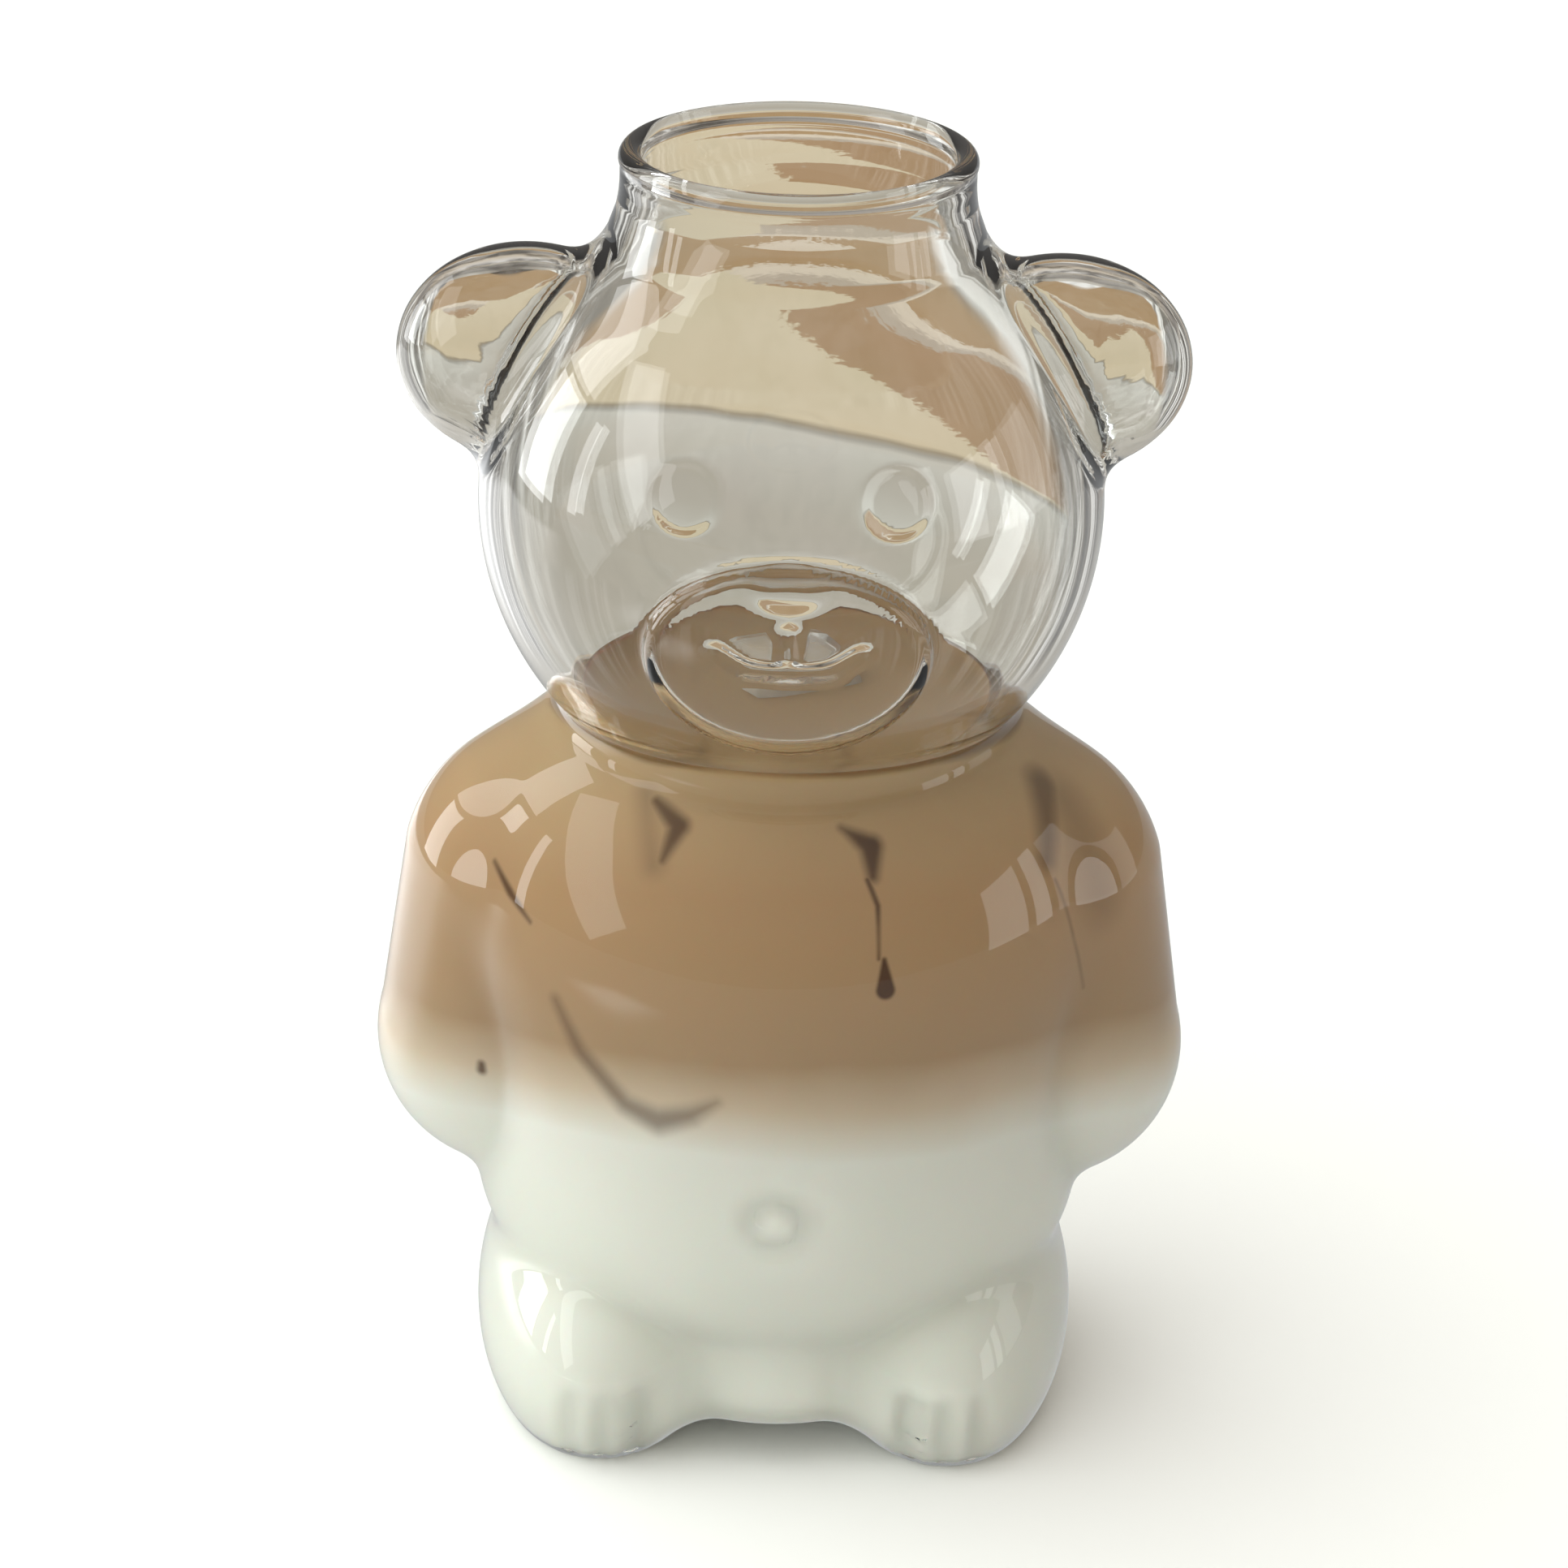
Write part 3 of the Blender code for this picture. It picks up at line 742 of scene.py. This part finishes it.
def seen_in_glass(tree, kind):
    """One for a mirrored or bent view that comes straight from the eye, otherwise zero."""
    path = add_node(tree, "ShaderNodeLightPath", {}).outputs
    return combine(tree, "MULTIPLY", path[kind], combine(tree, "LESS_THAN", path["Diffuse Depth"], 0.5))


def painted_floor_reflection(tree, axes):
    """Painted reflection that the glass mirrors in place of the surface it stands on: a dim glow, with
    painted pools of window light beside it.
    """
    glow = None
    for left, right, front, back, softness, strength in painted_floor_pools:
        sides = []
        for axis, low, high in (("X", left, right), ("Y", front, back)):
            for edge, sign in ((low, 1), (high, -1)):
                inward = combine(tree, "MULTIPLY_ADD", axes[axis], sign, -edge * sign)
                sides.append(fade(tree, inward, (0, softness), interpolation_type="SMOOTHSTEP"))
        pool = combine(tree, "MULTIPLY", combine(tree, "MULTIPLY", sides[0], sides[1]),
                       combine(tree, "MULTIPLY", sides[2], sides[3]))
        pool = combine(tree, "MULTIPLY", pool, strength)
        glow = pool if glow is None else combine(tree, "ADD", glow, pool)
    inputs = {"Color": (*window_colour, 1), "Strength": combine(tree, "ADD", glow, painted_floor_glow)}
    return add_node(tree, "ShaderNodeEmission", inputs).outputs[0]


def painted_room_colours(tree, place, axes, reach):
    """Painted warm room that glows behind the glass: grey up to a painted dark line, cream past it, tan in a
    slant and far behind.
    """
    ragged = noise(tree, place, ragged_scale, 4)
    rough_reach = combine(tree, "MULTIPLY_ADD", ragged, ragged_reach, reach)
    edge_reach = combine(tree, "MULTIPLY_ADD", axes["X"], edge_lean, reach)
    tan_reach = combine(tree, "MULTIPLY_ADD", axes["X"], tan_lean, rough_reach)
    near = colour_ramp(tree, edge_reach, (
        (0.0, (0.58, 0.55, 0.49)), (0.24, (0.45, 0.41, 0.34)), (0.30, (0.48, 0.44, 0.375)),
        (0.362, (0.60, 0.575, 0.51)), (0.365, (0.11, 0.09, 0.07)), (behind_edge[0], (0.66, 0.555, 0.385)),
        (0.50, (0.68, 0.585, 0.415)), (0.52, (0.74, 0.65, 0.52))))
    far = colour_ramp(tree, rough_reach, (
        (0.0, (0.42, 0.275, 0.155)), (0.484, (0.42, 0.275, 0.155)), (0.488, (0.50, 0.42, 0.33)),
        (0.499, (0.50, 0.42, 0.33)), (0.505, (0.72, 0.62, 0.49)), (far_edge[0], (0.72, 0.62, 0.49)),
        (far_edge[1], (0.43, 0.285, 0.15))))
    is_warm = combine(tree, "MAXIMUM", fade(tree, tan_reach, tan_edge), fade(tree, rough_reach, far_edge))
    share = combine(tree, "MULTIPLY", is_warm, fade(tree, edge_reach, behind_edge))
    return mix_colours(tree, share, near, far)


def add_painted_streaks(tree, room, axes, reach):
    """The painted room's colours with painted dark and light streaks beside and behind the glass, which
    stand for shade and reflections.

    The streaks change with the bearing, so that they lie along the glass's outline from every side.
    """
    bearing = combine(tree, "ARCTAN2", axes["X"], axes["Y"])
    inputs = {"W": combine(tree, "MULTIPLY", bearing, streak_turn), "Scale": streak_scale, "Detail": 3}
    streaks = add_node(tree, "ShaderNodeTexNoise", inputs, noise_dimensions="1D").outputs["Fac"]
    bars = colour_ramp(tree, streaks, (
        (0.38, (0.05, 0.045, 0.04)), (0.50, (0.30, 0.28, 0.25)), (0.58, (1.0, 0.98, 0.94))))
    is_beside = fade(tree, combine(tree, "ABSOLUTE", axes["X"]), beside_edge)
    is_streaked = combine(tree, "MAXIMUM", fade(tree, axes["Y"], past_edge), fade(tree, reach, near_edge))
    return mix_colours(tree, combine(tree, "MULTIPLY", is_beside, is_streaked), room, bars)


def floor_material():
    """Plain pale floor, a painted warm room that glows in its place for rays the hollow glass bends, and a
    painted reflection for rays it mirrors.
    """
    material, tree, shader = new_material("pale_floor_with_painted_room")
    set_inputs(tree, shader, {"Base Color": (0.93, 0.93, 0.92, 1), "Roughness": 0.9})
    place = add_node(tree, "ShaderNodeNewGeometry", {}).outputs["Position"]
    axes = split_axes(tree, place)
    reach = add_node(tree, "ShaderNodeVectorMath", {0: place}, operation="LENGTH").outputs["Value"]
    colours = add_painted_streaks(tree, painted_room_colours(tree, place, axes, reach), axes, reach)
    # Painted room, glowing only for rays bent through the glass
    room = add_node(tree, "ShaderNodeEmission", {"Color": colours, "Strength": 1.0}).outputs[0]
    is_mirrored = seen_in_glass(tree, "Is Glossy Ray")
    is_bent = seen_in_glass(tree, "Is Transmission Ray")
    view = mix_shaders(tree, is_mirrored, shader.outputs[0], painted_floor_reflection(tree, axes))
    view = mix_shaders(tree, is_bent, view, room)
    set_inputs(tree, tree.nodes["Material Output"], {"Surface": view})
    return material


def make_floor():
    """Large pale floor under and around the glass."""
    half_size = 3.0
    mesh = bmesh.new()
    bmesh.ops.create_grid(mesh, x_segments=1, y_segments=1, size=half_size)
    data = bpy.data.meshes.new("floor")
    mesh.to_mesh(data)
    mesh.free()
    floor = add_object("floor", data)
    data.materials.append(floor_material())


def make_light(name, place, target, size, brightness, colour, lean=0, is_window=False):
    """Soft rectangular light aimed at a point.

    A window shows in the glass and lights what is behind the glass. Any other light only falls on bare
    surfaces.
    """
    data = bpy.data.lights.new(name, "AREA")
    data.shape = "RECTANGLE"
    data.size, data.size_y = size
    data.energy = brightness * math.pi * size[0] * size[1]
    data.color = colour
    light = bpy.data.objects.new(name, data)
    light.location = place
    aim = (Vector(target) - Vector(place)).to_track_quat("-Z", "Y")
    light.rotation_euler = (aim @ Quaternion((0, 0, 1), math.radians(lean))).to_euler()
    light.visible_camera = False
    light.visible_diffuse = not is_window
    light.visible_glossy = is_window
    light.visible_transmission = is_window
    bpy.context.scene.collection.objects.link(light)


def make_background(tree, colour):
    """Background light of the given colour."""
    return add_node(tree, "ShaderNodeBackground", {"Color": colour, "Strength": 1.0}).outputs[0]


def streaked_room(tree, direction, height):
    """Colours of the room that shows through the glass above the floor, with upright streaks."""
    rise = colour_ramp(tree, height, (
        (0.0, (0.5, 0.46, 0.41)), (0.06, (0.24, 0.22, 0.20)), (0.22, (0.30, 0.27, 0.24)),
        (0.45, (0.50, 0.43, 0.34)), (0.75, (0.60, 0.58, 0.56)), (1.0, (0.6, 0.6, 0.6))))
    stretch = add_node(tree, "ShaderNodeMapping", {"Vector": direction, "Scale": (5, 5, 0.6)})
    bars = colour_ramp(tree, noise(tree, stretch.outputs["Vector"], 1.6, 2), (
        (0.36, (0.35, 0.34, 0.33)), (0.48, (0.85, 0.84, 0.82)), (0.62, (1.2, 1.2, 1.2))))
    return mix_colours(tree, 1.0, rise, bars, blend_type="MULTIPLY")


def make_world():
    """Pale light, brighter from the left, and a darker room where the glass mirrors or bends the view."""
    world = bpy.data.worlds.new("studio")
    world.use_nodes = True
    tree = world.node_tree
    direction = add_node(tree, "ShaderNodeTexCoord", {}).outputs["Generated"]
    axes = split_axes(tree, direction)
    sides = colour_ramp(tree, combine(tree, "MULTIPLY_ADD", axes["X"], 0.5, 0.5), (
        (0.15, (2.00, 2.10, 2.02)), (0.50, (1.00, 0.99, 0.95)), (0.85, (0.40, 0.355, 0.29))))
    dusk = colour_ramp(tree, axes["Z"], (
        (0.0, (0.27, 0.26, 0.25)), (0.25, (0.34, 0.32, 0.30)), (0.6, (0.54, 0.52, 0.50))))
    plain = tree.nodes["Background"]
    set_inputs(tree, plain, {"Color": sides})
    is_bent = seen_in_glass(tree, "Is Transmission Ray")
    in_glass = combine(tree, "MAXIMUM", is_bent, seen_in_glass(tree, "Is Glossy Ray"))
    room = make_background(tree, streaked_room(tree, direction, axes["Z"]))
    darker = mix_shaders(tree, is_bent, make_background(tree, dusk), room)
    view = mix_shaders(tree, in_glass, plain.outputs[0], darker)
    set_inputs(tree, tree.nodes["World Output"], {"Surface": view})
    bpy.context.scene.world = world


def make_camera():
    """Camera in front of the bear, looking down on it a little."""
    place = Vector(camera_place) + centring
    target = Vector(camera_target) + centring
    roll = math.radians(camera_roll)
    data = bpy.data.cameras.new("camera")
    data.lens = camera_lens
    data.sensor_width = camera_sensor_width
    data.clip_start = 0.01
    camera = bpy.data.objects.new("camera", data)
    ahead = (target - place).normalized()
    side = ahead.cross(Vector((0, 0, 1))).normalized()
    up = side.cross(ahead)
    right = side * math.cos(roll) + up * math.sin(roll)
    top = up * math.cos(roll) - side * math.sin(roll)
    turn = Matrix((right, top, -ahead)).transposed()
    camera.matrix_world = Matrix.Translation(place) @ turn.to_4x4()
    bpy.context.scene.collection.objects.link(camera)
    bpy.context.scene.camera = camera


glass = make_glass()
glass.data.materials.append(glass_material())
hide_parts("glass_vessel")
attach(glass, "filled_glass")

drink = make_drink()
drink.data.materials.append(drink_material())
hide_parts("milk", "coffee")
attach(drink, "filled_glass")

ice_look = ice_material()
for body, nodes in frame["record"]["behaviour"]["bodies"].items():
    for node in nodes:
        if node.startswith("ice_cube"):
            cube = make_ice(node)
            cube.data.materials.append(ice_look)
            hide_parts(node)
            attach(cube, body)

make_floor()
make_world()
make_light("overhead", (-0.3, -0.2, 1.6), (0, 0, 0), (1.6, 1.6), 0.6, (1.0, 1.0, 0.99))
for name, middle, pane, lean, brightness in window_panes:
    facing = (0, middle[1], middle[2])
    make_light(name, middle, facing, pane, brightness, window_colour, lean, is_window=True)
make_camera()
bpy.context.scene.view_settings.view_transform = "Standard"
